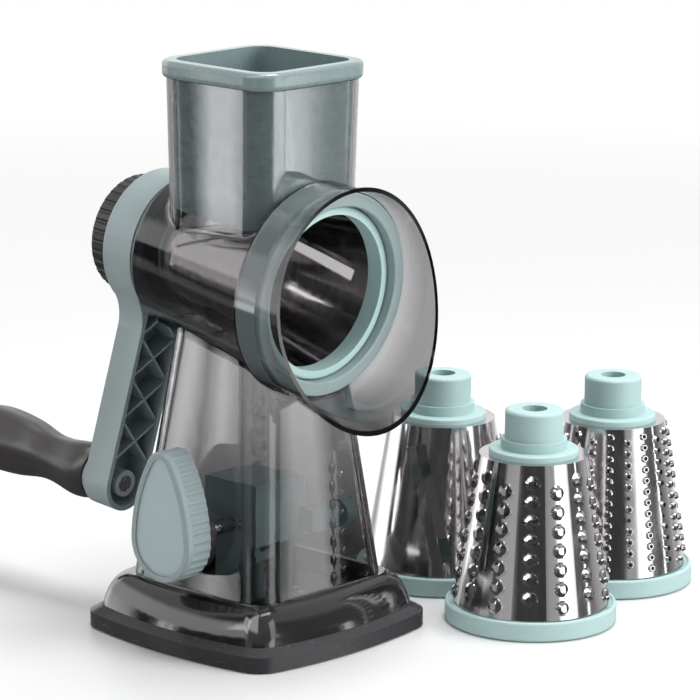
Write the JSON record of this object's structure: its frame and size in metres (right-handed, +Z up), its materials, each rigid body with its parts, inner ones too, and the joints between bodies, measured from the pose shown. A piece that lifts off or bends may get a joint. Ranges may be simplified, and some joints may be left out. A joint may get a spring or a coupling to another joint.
{
  "type": "rotary cabbage shredder",
  "caption": "Hand cranked table-top shredder: suction foot, clear column and hooded barrel, feed chute with pusher, exchangeable grating and slicing drums.",
  "frame": {"origin": "centre of the foot, at the height of the table", "axes": "+Z up; the barrel's mouth faces -Y and tips down 5 degrees; the crank is on the +Y side; the suction knob is on the -X side; the spare drums stand on the +X side"},
  "size_m": [0.2876, 0.2928, 0.272],
  "materials": {
    "dark_skirt": "satin dark moulding",
    "dark_dome": "glossy smoked black moulding",
    "dark_inner": "matt moulding",
    "rubber_pad": "matt rubber",
    "clear_smoke": "clear smoke-grey plastic, polished",
    "sage_collar": "satin sage-grey plastic",
    "sage_bracket": "satin sage-grey plastic",
    "sage_knob": "satin sage-grey plastic",
    "sage_face": "satin sage-grey plastic, paler",
    "sage_pusher": "satin sage-grey plastic",
    "sage_crank": "satin sage-grey plastic",
    "sage_drum": "matt sage-grey plastic",
    "drum_steel": "polished stainless sheet",
    "steel_small": "turned steel",
    "black_bush": "matt black plastic",
    "dark_collar": "matt dark plastic",
    "black_nut": "matt black ribbed plastic",
    "dark_grip": "soft-touch warm dark grey plastic"
  },
  "bodies": {
    "body": {"base_skirt": "dark_skirt", "base_cover": "dark_dome", "base_plate": "dark_inner", "base_screws": "steel_small", "suction_pad": "rubber_pad", "clear_body": "clear_smoke", "mouth_collar": "sage_collar", "rear_bush": "black_bush", "shaft_collar": "dark_collar", "lever_bracket": "sage_bracket", "bracket_screws": "steel_small"},
    "crank": {"crank_arm": "sage_crank", "crank_socket": "sage_crank", "grip_spindle": "steel_small"},
    "nut": {"lock_nut": "black_nut", "lock_stud": "steel_small"},
    "grip_body": {"grip": "dark_grip", "grip_cap": "dark_grip"},
    "fitted_drum": {"fitted_drum_rim": "sage_drum", "fitted_drum_shell": "drum_steel", "fitted_drum_hub": "sage_drum"},
    "pusher_body": {"pusher": "sage_pusher"},
    "knob": {"lever_knob": "sage_knob", "lever_face": "sage_face", "cam_shaft": "steel_small", "cam": "sage_bracket"},
    "stem": {"suction_stem": "sage_bracket", "stem_pin": "steel_small"},
    "slicing_drum": {"slicing_drum_rim": "sage_drum", "slicing_drum_shell": "drum_steel", "slicing_drum_hub": "sage_drum"},
    "coarse_drum": {"coarse_drum_rim": "sage_drum", "coarse_drum_shell": "drum_steel", "coarse_drum_hub": "sage_drum"},
    "fine_drum": {"fine_drum_rim": "sage_drum", "fine_drum_shell": "drum_steel", "fine_drum_hub": "sage_drum"}
  },
  "joints": [
    {"name": "crank_spin", "type": "hinge", "parent": "body", "child": "crank", "pos_m": [0, 0, 0.1717], "axis": [0, -0.9962, -0.0872], "continuous": true},
    {"name": "lock_nut_turn", "type": "hinge", "parent": "crank", "child": "nut", "pos_m": [0, 0, 0.1717], "axis": [0, -0.9962, -0.0872], "continuous": true},
    {"name": "grip_spin", "type": "hinge", "parent": "crank", "child": "grip_body", "pos_m": [-0.02603, 0.08052, 0.06373], "axis": [0, -0.9962, -0.0872], "continuous": true},
    {"name": "drum_pull", "type": "slide", "parent": "crank", "child": "fitted_drum", "axis": [0, -0.9962, -0.0872], "range_m": [0, 0.11]},
    {"name": "pusher_lift", "type": "slide", "parent": "body", "child": "pusher_body", "axis": [0, 0, 1], "range_m": [0, 0.09]},
    {"name": "lever_turn", "type": "hinge", "parent": "body", "child": "knob", "pos_m": [-0.05, 0, 0.053], "axis": [-1, 0, 0], "range_deg": [0, 90]},
    {"name": "stem_lift", "type": "slide", "parent": "body", "child": "stem", "axis": [0, 0, 1], "range_m": [0, 0.003]},
    {"name": "slicing_drum_lift", "type": "slide", "parent": "body", "child": "slicing_drum", "axis": [0, 0, 1], "range_m": [0, 0.15]},
    {"name": "coarse_drum_lift", "type": "slide", "parent": "body", "child": "coarse_drum", "axis": [0, 0, 1], "range_m": [0, 0.15]},
    {"name": "fine_drum_lift", "type": "slide", "parent": "body", "child": "fine_drum", "axis": [0, 0, 1], "range_m": [0, 0.15]}
  ],
  "couplings": [
    {"joint": "stem_lift", "follows": "lever_turn", "m_per_rad": 0.0019099}
  ]
}
